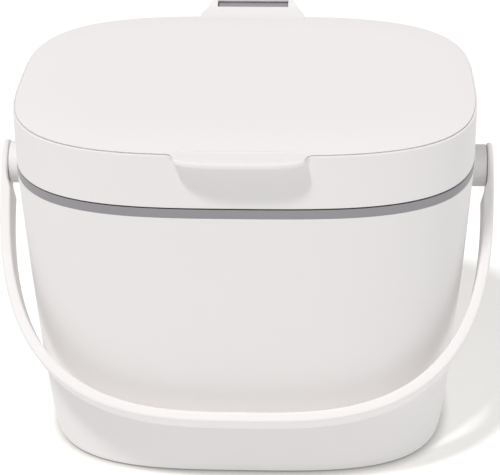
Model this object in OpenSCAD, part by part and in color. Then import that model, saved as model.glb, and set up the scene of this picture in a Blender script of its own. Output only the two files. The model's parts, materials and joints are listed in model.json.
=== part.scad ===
// Worktop compost caddy: a deep tub, a rim frame that carries the hinge, a hollow lid and a strap bail.
// Millimetres, +Z up, front towards -Y. The origin is the centre of the tub's flat base.

/* [Tub] */
// Width of the tub at its rim
rim_w = 256; // [200:1:320]
// Depth of the tub at its rim, front to back
rim_d = 199.6; // [160:0.2:260]
// Height of the tub
tub_h = 170; // [130:1:230]
// How far each side leans in between the rim and the base
side_lean = 13.2; // [4:0.1:20]
// How far the front and the back each lean in between the rim and the base
front_lean = 13.3; // [4:0.1:20]
// Belly of the walls: 1 is straight, less is fuller low down
belly = 0.65; // [0.5:0.05:1]
// Squareness of the plan: 2 is an ellipse, more is squarer
squareness = 3.3; // [2.6:0.1:5]
// Thickness of the tub's wall
wall = 2.6; // [2:0.1:4]
// Thickness of the tub's floor
floor_t = 3; // [2:0.1:5]
// Radius under the edge of the base
foot_r = 2.4; // [1:0.1:4]
// Radius inside, where the wall meets the floor
floor_r = 12; // [6:0.5:20]

/* [Rim frame] */
// Height of the grey band that shows under the lid
band_h = 5; // [3:0.1:8]
// Thickness of the frame's inner shelf
shelf_t = 2.2; // [1.6:0.1:3]
// How far the seal lip stands in from the outside
lip_in = 8; // [7:0.1:12]
// Thickness of the seal lip
lip_t = 2; // [1.5:0.1:3]
// Height of the seal lip above the band
lip_h = 4; // [2:0.1:5]
// Bevel on the band's top edge
band_bevel = 0.5; // [0.2:0.1:1]
// Depth of the spigot that drops into the tub
spigot_h = 10; // [8:0.5:16]
// Thickness of the spigot
spigot_t = 3; // [2.4:0.1:4]
// Height of the spigot's soft seal
seal_h = 3; // [2:0.1:4]
// Depth of the groove that holds the spigot's seal
seal_groove = 1.4; // [1:0.1:1.8]

/* [Lid] */
// Height of the lid's skirt
skirt_h = 31; // [20:0.1:45]
// Dark gap between the skirt and the band
lid_gap = 0.9; // [0.6:0.1:2]
// Thickness of the lid's skirt
skirt_t = 2.5; // [2:0.1:3.5]
// Thickness of the lid's top
lid_t = 2.2; // [1.8:0.1:3.5]
// Radius of the lid's top edge
edge_r = 2.8; // [0.8:0.1:3.4]
// How much the middle of the lid stands above its edge
crown = 3.6; // [0.5:0.1:5]
// How far in from the edge the crown reaches its height
crown_span = 28; // [20:1:60]
// Thickness of the lid's inner panel
liner_t = 2; // [1.5:0.1:3]
// How far the lid's soft seal stands out of its groove
seal_proud = 1.3; // [1:0.1:2]
// Width of the lid's soft seal
gasket_w = 2.8; // [2.4:0.1:3.4]
// How deep the lid's seal sits in its groove
gasket_seat = 2; // [1.5:0.1:3]

/* [Front tab] */
// Width of the tab where it leaves the lid
tab_w = 70; // [50:1:110]
// How far the tab stands out of the lid
tab_out = 10.2; // [8:0.1:20]
// Thickness of the tab
tab_t = 3.2; // [1.6:0.1:4]
// Droop of the tab, in degrees
tab_droop = 2.2; // [0:0.1:10]
// Squareness of the tab's outline: 2 is an ellipse, more is squarer
tab_square = 3; // [2:0.1:5]

/* [Hinge] */
// Distance of the hinge's axis behind the lid
hinge_out = 13; // [12:0.1:18]
// Distance of the hinge's axis below the lid's edge
hinge_drop = 3; // [2:0.1:6]
// Radius of the grey barrel
barrel_r = 6; // [4.5:0.1:6.5]
// Length of the grey barrel
barrel_len = 42.7; // [30:0.1:60]
// Thickness of the web under the barrel
web_t = 5; // [3:0.1:6]
// Gap between the lid's skirt and the foot of the web
web_gap = 1.2; // [1:0.1:2]
// How far the web stands behind the middle of the barrel
web_set = 0.6; // [0:0.1:1]
// Gap between the barrel and the hood
hood_gap = 0.8; // [0.5:0.1:1.5]
// Thickness of the hood
hood_t = 2.4; // [1.8:0.1:3]
// Width of the hood's cheek at its tip
cheek_tip = 3.2; // [2.8:0.1:8]
// Width of the hood's cheek where it leaves the lid
cheek_root = 10; // [8:0.1:16]
// How far the cheeks reach down the skirt
cheek_h = 22; // [14:0.5:26]
// Radius of the steel hinge pin
hinge_pin_r = 2; // [1.5:0.1:3]

/* [Handle] */
// How far the bail stands out of the tub's rim on each side
bail_out = 12.1; // [10:0.1:20]
// Reach of the bail from its pivots to its outer face
bail_reach = 152.4; // [143:0.2:220]
// Squareness of the bail's curve
bail_square = 3; // [2.2:0.05:4]
// Thickness of the strap
strap_t = 5.8; // [3.5:0.1:7]
// Width of the strap
strap_w = 22; // [14:0.5:24]
// Distance from the pivots at which the eyes have narrowed to the strap
neck_len = 36; // [26:1:50]
// Radius of the round eye at each end
eye_r = 13; // [10:0.1:16]
// Thickness of the eye
eye_t = 3.3; // [3:0.1:5]
// Distance of the pivots below the tub's rim
pivot_drop = 15.6; // [13.4:0.1:40]
// Radius of the boss on each side of the tub
boss_r = 12.1; // [9:0.1:14]
// Radius round the pivots inside which the strap is only as thick as its eye
relief_r = 15; // [13.5:0.5:20]
// Radius round the pivots where the strap reaches its full thickness
relief_end_r = 24; // [20:0.5:34]
// Radius of the pivot studs
stud_r = 4.5; // [3:0.1:6]
// Radius of the studs' heads
stud_head_r = 8; // [6:0.1:9]
// Thickness of the studs' heads
stud_head_t = 1.2; // [0.8:0.1:1.5]
// Depth of the studs in the bosses
stud_depth = 9.5; // [6:0.1:10]

/* [Fits] */
// Running clearance on the radius of a pin that turns
run_fit = 0.05; // [0.02:0.01:0.1]
// Clearance on the radius of a pin that is pressed in
press_fit = 0.02; // [0.01:0.01:0.03]
// Clearance between parts that only sit together
sit_gap = 0.2; // [0.1:0.05:0.4]
// Clearance at the ends of the barrel and between each eye and its boss
side_gap = 0.3; // [0.2:0.05:0.5]
// Clearance between the middle of the bail at rest and the front of the tub
rest_gap = 1.2; // [0.8:0.05:2]
// Clearance between a soft seal and what it closes on
seal_gap = 0.35; // [0.2:0.05:0.5]
// Clearance round the spigot's seal in its groove
seal_fit = 0.1; // [0.05:0.05:0.2]

/* [Hidden] */
$fn = 72;
plan_steps = 80;      // points round the plan's outline
bail_steps = 56;      // points along the bail
tab_steps = 28;       // points along the tab's outline
crown_levels = 5;     // sections across the lid's crowned top
wall_levels = 7;      // sections up the tub's wall
over = 1;             // how far a cut runs past the face that it leaves
half_turn = 180;      // degrees

white = [0.95, 0.94, 0.93];
grey = [0.6, 0.6, 0.62];
seal_grey = [0.45, 0.45, 0.47];
steel = [0.75, 0.75, 0.77];

band_top = tub_h + band_h;
lip_top = band_top + lip_h;
lip_back = lip_in + lip_t;
skirt_z = band_top + lid_gap;
lid_edge_z = skirt_z + skirt_h;
liner_in = skirt_t + sit_gap;
gasket_in = lip_in + (lip_t - gasket_w)/2;
gasket_z = lip_top + seal_gap;
liner_z = gasket_z + seal_proud;        // underside of the lid's inner panel
groove_z = liner_z + gasket_seat;
spigot_in = wall + seal_gap;
seal_z = tub_h - spigot_h/2 - seal_h/2;

hinge_y = rim_d/2 + hinge_out;
hinge_z = lid_edge_z - hinge_drop;
hood_in_r = barrel_r + hood_gap;
hood_r = hood_in_r + hood_t;
slot_len = barrel_len + 2*side_gap;
tip_half = slot_len/2 + cheek_tip;
root_half = slot_len/2 + cheek_root;
window_front = 139;                     // the hood's opening, in degrees up from straight back
window_back = 90;
bar_end = 30;                           // lower edge of the bar behind the opening

pivot_z = tub_h - pivot_drop;
bail_half = rim_w/2 + bail_out;
boss_end = bail_half - eye_t - side_gap;
boss_start = half_w(pivot_z - boss_r) - wall/3;
rest_angle = settle(45, 12);

// ---- plan outline and lofts ----

// Half of the width and of the depth at a height; both stay as they are above the rim
function rise(z) = pow(min(max(z, 0), tub_h)/tub_h, belly);
function half_w(z) = rim_w/2 - side_lean*(1 - rise(z));
function half_d(z) = rim_d/2 - front_lean*(1 - rise(z));

// A point moved in or out along its ray to the squared oval with half axes a and b and power n
function squared(p, a, b, n) = p*pow(pow(abs(p[0])/a, n) + pow(abs(p[1])/b, n), -1/n);
function oval(a, b) = [
    for (i = [0:plan_steps - 1])
        let (u = 360*i/plan_steps)
            squared([a*cos(u), b*sin(u)], a, b, squareness)
];

// The plan at a height, set in from the outside: one section of a loft
function section(inset, z) = [for (p = oval(half_w(z) - inset, half_d(z) - inset)) [p[0], p[1], z]];

// Triangles between section i and section k
function skin(i, k) = [
    for (j = [0:plan_steps - 1])
        let (n = (j + 1)%plan_steps, a = i*plan_steps, b = k*plan_steps)
            each [[a + j, b + j, b + n], [a + j, b + n, a + n]]
];

// Solid through a list of [inset, height], closed by its first and last section
module loft(steps) {
    last = len(steps) - 1;
    polyhedron(
        points = [for (s = steps) each section(s[0], s[1])],
        faces = [
            [for (j = [0:plan_steps - 1]) j],
            for (i = [0:last - 1]) each skin(i, i + 1),
            [for (j = [0:plan_steps - 1]) last*plan_steps + plan_steps - 1 - j]
        ],
        convexity = 6
    );
}

// Ring whose cross-section is a closed loop of [inset, height]
module loop(steps) {
    polyhedron(
        points = [for (s = steps) each section(s[0], s[1])],
        faces = [for (i = [0:len(steps) - 1]) each skin(i, (i + 1)%len(steps))],
        convexity = 6
    );
}

// Extrude a side view, drawn as [y, z], over a length centred on the middle plane
module across(length) {
    rotate([90, 0, 90])
        linear_extrude(height = length, center = true)
            children();
}

// Cylinder along X between two places, about the hinge or the pivots
module rod(r, x0, x1, y, z) {
    translate([x0, y, z])
        rotate([0, 90, 0])
            cylinder(r = r, h = x1 - x0);
}

// ---- tub ----

function tub_outside() = concat(
    [for (a = [0:30:90]) [foot_r*(1 - sin(a)), foot_r*(1 - cos(a))]],
    [for (i = [1:wall_levels]) [0, foot_r + (tub_h - foot_r)*pow(i/wall_levels, 1.5)]]
);
function tub_inside() = concat(
    [for (i = [wall_levels:-1:1])
        [wall, floor_t + floor_r + (tub_h - floor_t - floor_r)*pow(i/wall_levels, 1.5)]],
    [for (a = [0:22.5:90]) [wall + floor_r*(1 - cos(a)), floor_t + floor_r*(1 - sin(a))]]
);

module bucket_body() {
    color(white)
        difference() {
            union() {
                loft(concat(tub_outside(), tub_inside()));
                rod(boss_r, boss_start, boss_end, 0, pivot_z);
                rod(boss_r, -boss_end, -boss_start, 0, pivot_z);
            }
            rod(stud_r + press_fit, boss_end - stud_depth - sit_gap, boss_end + over, 0, pivot_z);
            rod(stud_r + press_fit, -boss_end - over, sit_gap + stud_depth - boss_end, 0, pivot_z);
        }
}

// ---- rim frame ----

module rim_frame() {
    shelf_z = band_top - shelf_t;
    spigot_z = tub_h - spigot_h;
    groove_in = spigot_in + seal_groove;
    spigot_back = spigot_in + spigot_t;
    color(grey)
        difference() {
            union() {
                loop([
                    [0, tub_h], [0, band_top - band_bevel], [band_bevel, band_top],
                    [lip_in, band_top], [lip_in, lip_top],
                    [lip_back, lip_top], [lip_back, shelf_z], [spigot_back, shelf_z],
                    [spigot_back, spigot_z], [spigot_in, spigot_z], [spigot_in, seal_z],
                    [groove_in, seal_z], [groove_in, seal_z + seal_h],
                    [spigot_in, seal_z + seal_h], [spigot_in, tub_h]
                ]);
                hinge_bracket();
            }
            rod(hinge_pin_r + press_fit, -barrel_len, barrel_len, hinge_y, hinge_z);
        }
}

// Web that rises behind the lid from the band to the barrel
module hinge_bracket() {
    back = rim_d/2;
    foot = back - wall;
    stand_off = back + web_gap;          // stays clear of the lid's skirt
    web_back = hinge_y + web_set;
    kink_z = hinge_z - 1.7*barrel_r;     // the web leans back up to here, then stands upright
    across(barrel_len)
        polygon([
            [foot, tub_h], [foot, band_top], [stand_off, band_top],
            [web_back - web_t, kink_z], [web_back - web_t, hinge_z],
            [web_back, hinge_z], [web_back, kink_z], [stand_off + web_t, tub_h]
        ]);
    rod(barrel_r, -barrel_len/2, barrel_len/2, hinge_y, hinge_z);
}

module rim_gasket() {
    outside = wall + seal_fit;
    inside = spigot_in + seal_groove - seal_fit;
    low = seal_z + seal_fit;
    high = seal_z + seal_h - seal_fit;
    color(seal_grey)
        loop([[outside, low], [outside, high], [inside, high], [inside, low]]);
}

// ---- lid ----

// Height of the lid's top above its edge, at a distance in from the outside
function crown_rise(inset) =
    crown*(1 - pow(1 - min(max(inset - edge_r, 0)/crown_span, 1), 2));
crown_steps = [for (k = [1:crown_levels]) edge_r + crown_span*k/crown_levels];

function lid_outside() = concat(
    [[0, skirt_z]],
    [for (a = [0:22.5:90]) [edge_r*(1 - cos(a)), lid_edge_z - edge_r*(1 - sin(a))]],
    [for (d = crown_steps) [d, lid_edge_z + crown_rise(d)]]
);
function lid_inside() = concat(
    [for (k = [crown_levels - 1:-1:1]) let (d = crown_steps[k]) [d, lid_edge_z - lid_t + crown_rise(d)]],
    [[skirt_t, lid_edge_z - lid_t], [skirt_t, skirt_z]]
);

module lid_shell() {
    color(white)
        difference() {
            union() {
                loft(concat(lid_inside(), lid_outside()));
                front_tab();
                hinge_hood();
            }
            rod(hinge_pin_r + run_fit, -root_half - over, root_half + over, hinge_y, hinge_z);
        }
}

// Tab at the front: a half oval that droops from the lid's edge
module front_tab() {
    half = tab_w/2;
    edge = [
        for (i = [0:tab_steps])
            let (t = half_turn*(1 + i/tab_steps))
                squared([half*cos(t), tab_out*sin(t)], half, tab_out, tab_square)
    ];
    translate([0, -rim_d/2, lid_edge_z])
        rotate([tab_droop, 0, 0])
            translate([0, 0, -tab_t])
                linear_extrude(height = tab_t)
                    polygon(concat([[-half, edge_r]], edge, [[half, edge_r]]));
}

// Side view of the hood: a round end about the pin, with a ramp down to the lid
module hood_side() {
    back = rim_d/2;
    ramp_in = 5;                         // the ramp leaves the lid's top this far in
    sink = 0.3;                          // and starts this far under its surface
    foot_angle = -60;                    // lowest point of the round end, in degrees
    translate([hinge_y, hinge_z])
        circle(r = hood_r);
    polygon([
        [back - skirt_t/2, lid_edge_z - cheek_h],
        [hinge_y + hood_r*cos(foot_angle), hinge_z + hood_r*sin(foot_angle)],
        [hinge_y, hinge_z],
        [hinge_y + hood_r*cos(window_back), hinge_z + hood_r*sin(window_back)],
        [hinge_y + hood_r*cos(window_front), hinge_z + hood_r*sin(window_front)],
        [back - ramp_in, lid_edge_z + crown_rise(ramp_in) - sink],
        [back - ramp_in, lid_edge_z - lid_t/2],
        [back - skirt_t/2, lid_edge_z - lid_t/2]
    ]);
}

// What is open between the cheeks: room for the barrel and its web, and the slot over the barrel
module hood_slot() {
    far = 2*hood_r;
    pad = rim_d/2 + 0.2;                 // a thin flat pad stays on the skirt between the cheeks
    translate([hinge_y, hinge_z])
        circle(r = hood_in_r);
    polygon([
        [pad, lid_edge_z - cheek_h - far],
        [pad, lid_edge_z - hood_t],
        [hinge_y + hood_in_r*cos(window_front), hinge_z + hood_in_r*sin(window_front)],
        [hinge_y, hinge_z],
        [hinge_y + far*cos(bar_end), hinge_z + far*sin(bar_end)],
        [hinge_y + far, lid_edge_z - cheek_h - far]
    ]);
    polygon([
        [hinge_y, hinge_z],
        [hinge_y + far*cos(window_back), hinge_z + far*sin(window_back)],
        [hinge_y + far*cos(window_front), hinge_z + far*sin(window_front)]
    ]);
}

module hinge_hood() {
    back = rim_d/2;
    hood_end = hinge_y + hood_r;
    shoulder = hinge_y - 4.5;            // behind here the cheeks run straight back
    corner = 2.4;
    cheek_edge = [
        [tip_half - corner, hood_end + over], [tip_half, hood_end - corner],
        [tip_half, shoulder + corner], [tip_half + corner*2/3, shoulder],
        [root_half, back - skirt_t/2], [root_half, back - 2*cheek_root]
    ];
    difference() {
        intersection() {
            across(2*root_half)
                hood_side();
            translate([0, 0, lid_edge_z - 2*cheek_h])
                linear_extrude(height = 4*cheek_h)
                    polygon(concat(cheek_edge, [for (i = [len(cheek_edge) - 1:-1:0])
                        [-cheek_edge[i][0], cheek_edge[i][1]]]));
        }
        across(slot_len)
            hood_slot();
    }
}

module lid_liner() {
    groove_out = gasket_in - sit_gap;
    groove_in = gasket_in + gasket_w + sit_gap;
    step_in = groove_in + liner_t;
    top_z = lid_edge_z - lid_t - sit_gap;
    color(white)
        loft([
            [step_in, liner_z], [groove_in, liner_z], [groove_in, groove_z],
            [groove_out, groove_z], [groove_out, liner_z], [liner_in, liner_z],
            [liner_in, top_z], [liner_in + liner_t, top_z],
            [liner_in + liner_t, groove_z + liner_t], [step_in, groove_z + liner_t],
            [step_in + liner_t/2, liner_z + liner_t]
        ]);
}

module lid_gasket() {
    color(seal_grey)
        loop([
            [gasket_in, gasket_z], [gasket_in, groove_z - sit_gap/2],
            [gasket_in + gasket_w, groove_z - sit_gap/2], [gasket_in + gasket_w, gasket_z]
        ]);
}

module hinge_pin() {
    half = tip_half - sit_gap;
    color(steel)
        rod(hinge_pin_r, -half, half, hinge_y, hinge_z);
}

// ---- handle ----

// Angle forward of hanging straight down at which the strap's inside rests against the tub: each
// round takes the tub's depth at the height that the last angle gives
function contact_z(a) = pivot_z - (bail_reach - strap_t)*cos(a) - strap_w/2*sin(a);
function settle(a, rounds) = rounds == 0 ? a : settle(
    asin((half_d(contact_z(a)) + rest_gap + strap_w/2*cos(a))/(bail_reach - strap_t)), rounds - 1);

// The bail's curve, set in from its outer face; drawn as [x, distance from the pivots]
function bail_curve(inset) = [
    for (i = [0:bail_steps])
        let (a = bail_half - inset, b = bail_reach - inset, t = half_turn*i/bail_steps)
            squared([cos(t), sin(t)], a, b, bail_square)
];

// The bail hanging straight down from the pivots' axis at the origin
module hanging_bail() {
    inner = bail_curve(strap_t);
    intersection() {
        rotate([-90, 0, 0])
            linear_extrude(height = 2*eye_r, center = true)
                polygon(concat(
                    [[bail_half, -eye_r - over]], bail_curve(0), [[-bail_half, -eye_r - over]],
                    [[-bail_half + strap_t, -eye_r - over]],
                    [for (i = [bail_steps:-1:0]) inner[i]],
                    [[bail_half - strap_t, -eye_r - over]]
                ));
        across(2*bail_half + over)
            union() {
                circle(r = eye_r);
                polygon([
                    [-eye_r, 0], [-eye_r, -eye_r/2], [-strap_w/2, -neck_len],
                    [-strap_w/2, -bail_reach - over], [strap_w/2, -bail_reach - over],
                    [strap_w/2, -neck_len], [eye_r, -eye_r/2], [eye_r, 0]
                ]);
            }
    }
}

// Room for the boss inside the eye, narrowing to the eye from the strap's full thickness
module eye_relief() {
    inner = bail_half - strap_t;
    eye_in = bail_half - eye_t;
    rotate_extrude()
        polygon([[0, 0], [relief_end_r, 0], [relief_end_r, inner], [relief_r, eye_in], [0, eye_in]]);
}

module carry_handle() {
    color(white)
        translate([0, 0, pivot_z])
            rotate([-rest_angle, 0, 0])
                difference() {
                    hanging_bail();
                    for (side = [-1, 1])
                        rotate([0, 90*side, 0])
                            eye_relief();
                    rod(stud_r + run_fit, -bail_half - over, bail_half + over, 0, 0);
                    rod(stud_head_r + side_gap, bail_half - stud_head_t, bail_half + over, 0, 0);
                    rod(stud_head_r + side_gap, -bail_half - over, stud_head_t - bail_half, 0, 0);
                }
}

// Stud with a flat head, its head flush with the outside of the eye
module handle_stud() {
    seat = side_gap/2;
    rod(stud_r, boss_end - stud_depth, bail_half - stud_head_t + 2*seat, 0, pivot_z);
    rod(stud_head_r, bail_half - stud_head_t + seat, bail_half - seat, 0, pivot_z);
}

module handle_pin_right() {
    color(white)
        handle_stud();
}

module handle_pin_left() {
    color(white)
        mirror([1, 0, 0])
            handle_stud();
}

bucket_body();
rim_frame();
rim_gasket();
lid_shell();
lid_liner();
lid_gasket();
hinge_pin();
carry_handle();
handle_pin_left();
handle_pin_right();
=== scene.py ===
"""Worktop compost caddy: tub, rim frame, hollow lid, hinge and strap handle.

Every piece is dressed over the node that it replaces. Sizes in the dataclasses are
millimetres; make_piece turns each finished mesh into metres.
"""

import json
import logging
import math
from collections.abc import Callable, Iterable, Sequence
from dataclasses import dataclass, field
from enum import Enum

import bmesh
import bpy
from mathutils import Matrix, Vector

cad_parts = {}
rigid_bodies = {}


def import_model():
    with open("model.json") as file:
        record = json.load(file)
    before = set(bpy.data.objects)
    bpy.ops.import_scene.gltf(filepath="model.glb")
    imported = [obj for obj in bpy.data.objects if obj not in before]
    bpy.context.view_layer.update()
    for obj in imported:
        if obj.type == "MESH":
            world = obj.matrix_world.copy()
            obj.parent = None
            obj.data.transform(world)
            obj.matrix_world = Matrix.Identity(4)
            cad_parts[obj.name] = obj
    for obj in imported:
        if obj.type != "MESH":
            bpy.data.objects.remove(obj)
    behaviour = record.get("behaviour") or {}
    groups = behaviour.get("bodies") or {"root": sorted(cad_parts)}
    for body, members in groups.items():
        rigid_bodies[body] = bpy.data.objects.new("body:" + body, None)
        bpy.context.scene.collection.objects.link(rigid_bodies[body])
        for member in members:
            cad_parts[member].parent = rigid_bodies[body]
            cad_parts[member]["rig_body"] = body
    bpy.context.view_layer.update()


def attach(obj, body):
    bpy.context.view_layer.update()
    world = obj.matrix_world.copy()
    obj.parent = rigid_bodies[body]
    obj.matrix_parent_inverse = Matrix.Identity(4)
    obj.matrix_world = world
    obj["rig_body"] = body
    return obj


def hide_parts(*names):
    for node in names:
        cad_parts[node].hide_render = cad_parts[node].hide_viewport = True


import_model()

log = logging.getLogger("caddy")
MILLIMETRE = 0.001
MERGE_DISTANCE = 1e-4
NO_LENGTH = 1e-5
CREASE_ANGLE = math.radians(38.0)
SOFTENED_ANGLE = math.radians(36.0)
FLAT_ANGLE = math.radians(0.5)
LARGE_FACES_FIRST = 80
PIN_FACES = 48
PICTURE_WIDTH = 500.0
SENSOR_WIDTH = 36.0
Place = Callable[[int], Vector]
Outline = Sequence[tuple[float, float]]
Colour = tuple[float, float, float]
WHITE_LIGHT: Colour = (1.0, 1.0, 1.0)


class Body(Enum):
    """Rigid bodies that a piece can ride on."""

    CADDY = "caddy"
    LID = "lid"
    HANDLE = "handle"


class Slot(Enum):
    """Material slots of the part."""

    WHITE = "white_plastic"
    GREY = "grey_plastic"
    SEAL = "seal_rubber"
    STEEL = "pin_steel"


class Side(Enum):
    """The caddy's two sides, as the sign of X."""

    LEFT = -1
    RIGHT = 1


class Cut(Enum):
    """What a tool piece does to the piece that it works on."""

    REMOVE = "DIFFERENCE"
    JOIN = "UNION"
    KEEP_COMMON = "INTERSECT"


# ---- shared surface effects ----


class EffectGroup:
    """A shader node group that is fed a vector and gives one value or colour."""

    def __init__(
        self, name: str, inputs: dict[str, float | None], output: str, kind: str = "Float"
    ) -> None:
        """Start a group with its sockets.

        Args:
            name: Name of the effect.
            inputs: Starting value of each input after the vector; None makes it a colour.
            output: Name of the output.
            kind: Kind of the output, Float or Color.
        """
        self.tree = bpy.data.node_groups.new(name, "ShaderNodeTree")
        self.entry = self.tree.nodes.new("NodeGroupInput")
        self.exit = self.tree.nodes.new("NodeGroupOutput")
        self.socket("Vector", "INPUT", "Vector")
        for label, value in inputs.items():
            made = self.socket(label, "INPUT", "Color" if value is None else "Float")
            if value is not None:
                made.default_value = value
        self.socket(output, "OUTPUT", kind)

    def socket(self, name: str, way: str, kind: str) -> bpy.types.NodeTreeInterfaceSocket:
        """Add one named socket to the group's face.

        Args:
            name: Name of the socket.
            way: INPUT or OUTPUT.
            kind: Kind of the socket, such as Float or Color.

        Returns:
            The socket in the group's interface.
        """
        return self.tree.interface.new_socket(
            name=name, in_out=way, socket_type=f"NodeSocket{kind}"
        )

    def link(self, source: bpy.types.NodeSocket, target: bpy.types.NodeSocket) -> None:
        """Join an output socket to an input socket."""
        self.tree.links.new(source, target)

    def noise(
        self, scale: str, detail: float, vector: bpy.types.NodeSocket | None = None
    ) -> bpy.types.NodeSocket:
        """Add noise at the scale that an input of the group gives.

        Args:
            scale: Name of that input.
            detail: Detail of the noise.
            vector: What the noise runs over, if that isn't the group's own vector.

        Returns:
            The noise.
        """
        made = add_node(self.tree, "TexNoise", noise_dimensions="3D")
        made.inputs["Detail"].default_value = detail
        self.link(vector or self.entry.outputs["Vector"], made.inputs["Vector"])
        self.link(self.entry.outputs[scale], made.inputs["Scale"])
        return made.outputs["Fac"]

    def patches(self, detail: float, low: float, high: float) -> bpy.types.Node:
        """Add slow noise whose middle values, from low to high, spread softly over all it gives.

        Args:
            detail: Detail of the noise.
            low: Noise that gives the least.
            high: Noise that gives the most.

        Returns:
            The node that spreads the noise, with its result and its ends open.
        """
        made = add_node(self.tree, "MapRange", interpolation_type="SMOOTHSTEP")
        made.inputs["From Min"].default_value = low
        made.inputs["From Max"].default_value = high
        self.link(self.noise("Patches per metre", detail), made.inputs["Value"])
        return made

    def finish(self, result: bpy.types.NodeSocket) -> bpy.types.NodeTree:
        """Give the result to the output and return the group's tree."""
        self.link(result, self.exit.inputs[0])
        return self.tree


def add_node(tree: bpy.types.NodeTree, kind: str, **settings: object) -> bpy.types.Node:
    """Add a shader node and set its attributes.

    Args:
        tree: Node tree that gets the node.
        kind: Node type without its ShaderNode prefix.
        **settings: Attributes to set on it.

    Returns:
        The node.
    """
    made = tree.nodes.new(f"ShaderNode{kind}")
    for name, value in settings.items():
        setattr(made, name, value)
    return made


def mould_grain_group() -> bpy.types.NodeTree:
    """Texture that plastic copies from its mould: a small even grain over a slow ripple.

    Returns:
        The effect's node group.
    """
    inputs = {"Grain per metre": 2400.0, "Ripple per metre": 90.0, "Ripple share": 0.4}
    group = EffectGroup("mould_grain", inputs, "Height")
    blend = add_node(group.tree, "Mix", data_type="FLOAT")
    group.link(group.entry.outputs["Ripple share"], blend.inputs["Factor"])
    group.link(group.noise("Grain per metre", 2.0), blend.inputs["A"])
    group.link(group.noise("Ripple per metre", 1.0), blend.inputs["B"])
    return group.finish(blend.outputs["Result"])


def gloss_drift_group() -> bpy.types.NodeTree:
    """Roughness that wanders slowly over a surface, as handling and wiping leave it.

    Returns:
        The effect's node group.
    """
    inputs = {"Patches per metre": 22.0, "Least": 0.3, "Most": 0.4}
    group = EffectGroup("gloss_drift", inputs, "Roughness")
    spread = group.patches(4.0, 0.3, 0.7)
    group.link(group.entry.outputs["Least"], spread.inputs["To Min"])
    group.link(group.entry.outputs["Most"], spread.inputs["To Max"])
    return group.finish(spread.outputs["Result"])


def tone_drift_group() -> bpy.types.NodeTree:
    """Colour that drifts a little between two close tones, as pigment does in a moulding.

    Returns:
        The effect's node group.
    """
    inputs = {"Patches per metre": 9.0, "Tone": None, "Second tone": None}
    group = EffectGroup("tone_drift", inputs, "Colour", "Color")
    factor, tone, second, result = 0, 6, 7, 2
    blend = add_node(group.tree, "Mix", data_type="RGBA")
    group.link(group.patches(3.0, 0.35, 0.65).outputs["Result"], blend.inputs[factor])
    group.link(group.entry.outputs["Tone"], blend.inputs[tone])
    group.link(group.entry.outputs["Second tone"], blend.inputs[second])
    return group.finish(blend.outputs[result])


def drawn_lines_group() -> bpy.types.NodeTree:
    """Fine scratches along X, as drawing leaves them on a steel pin.

    Returns:
        The effect's node group.
    """
    group = EffectGroup("drawn_lines", {"Lines per metre": 6000.0}, "Height")
    stretch = add_node(group.tree, "VectorMath", operation="MULTIPLY")
    stretch.inputs[1].default_value = (0.03, 1.0, 1.0)
    group.link(group.entry.outputs["Vector"], stretch.inputs[0])
    return group.finish(group.noise("Lines per metre", 3.0, stretch.outputs["Vector"]))


class Effects:
    """The effect groups, each built once and placed in every material that uses it."""

    def __init__(self) -> None:
        """Build every group."""
        self.mould_grain = mould_grain_group()
        self.gloss_drift = gloss_drift_group()
        self.tone_drift = tone_drift_group()
        self.drawn_lines = drawn_lines_group()


# ---- finishes ----


@dataclass(frozen=True)
class Finish:
    """How one material looks, and the slot of the part that it fills.

    Attributes:
        name: Name of the material.
        slot: Material slot of the part; not used.
        tone: Linear colour.
        second_tone: Colour that it drifts towards.
        least_rough: Lowest roughness.
        most_rough: Highest roughness.
        grain: Grains per metre of the mould's texture.
        grain_depth: Depth of the grain, in metres.
        ripple_share: Share of the slow ripple in the texture.
        metal: Whether it is metal.
        sheen: Weight of a soft sheen at grazing angles.
        ior: Index of refraction.
    """

    name: str
    slot: Slot
    tone: Colour
    second_tone: Colour
    least_rough: float
    most_rough: float
    grain: float = 2400.0
    grain_depth: float = 0.00001
    ripple_share: float = 0.4
    metal: bool = False
    sheen: float = 0.0
    ior: float = 1.49

    def place_group(
        self, tree: bpy.types.NodeTree, group: bpy.types.NodeTree, **values: object
    ) -> bpy.types.Node:
        """Place an effect group in the material and feed it Object coordinates.

        Args:
            tree: The material's node tree.
            group: The effect.
            **values: Input values, with underscores for spaces in the socket names.

        Returns:
            The group's node.
        """
        placed = add_node(tree, "Group", node_tree=group)
        for name, value in values.items():
            placed.inputs[name.replace("_", " ")].default_value = value
        coordinates = tree.nodes.get("Texture Coordinate") or add_node(tree, "TexCoord")
        tree.links.new(coordinates.outputs["Object"], placed.inputs["Vector"])
        return placed

    def material(self, effects: Effects) -> bpy.types.Material:
        """Build the node material.

        Args:
            effects: The shared effect groups.

        Returns:
            The material.
        """
        made = bpy.data.materials.new(self.name)
        made.use_nodes = True
        tree = made.node_tree
        surface = tree.nodes["Principled BSDF"]
        surface.inputs["Metallic"].default_value = 1.0 if self.metal else 0.0
        surface.inputs["IOR"].default_value = self.ior
        surface.inputs["Sheen Weight"].default_value = self.sheen
        colour = self.place_group(
            tree, effects.tone_drift, Tone=(*self.tone, 1.0), Second_tone=(*self.second_tone, 1.0)
        )
        gloss = self.place_group(
            tree, effects.gloss_drift, Least=self.least_rough, Most=self.most_rough
        )
        if self.metal:
            texture = self.place_group(tree, effects.drawn_lines)
        else:
            texture = self.place_group(
                tree, effects.mould_grain,
                Grain_per_metre=self.grain, Ripple_share=self.ripple_share,
            )
        bump = add_node(tree, "Bump")
        bump.inputs["Strength"].default_value = 1.0
        bump.inputs["Distance"].default_value = self.grain_depth
        tree.links.new(colour.outputs["Colour"], surface.inputs["Base Color"])
        tree.links.new(gloss.outputs["Roughness"], surface.inputs["Roughness"])
        tree.links.new(texture.outputs["Height"], bump.inputs["Height"])
        tree.links.new(bump.outputs["Normal"], surface.inputs["Normal"])
        return made


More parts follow.
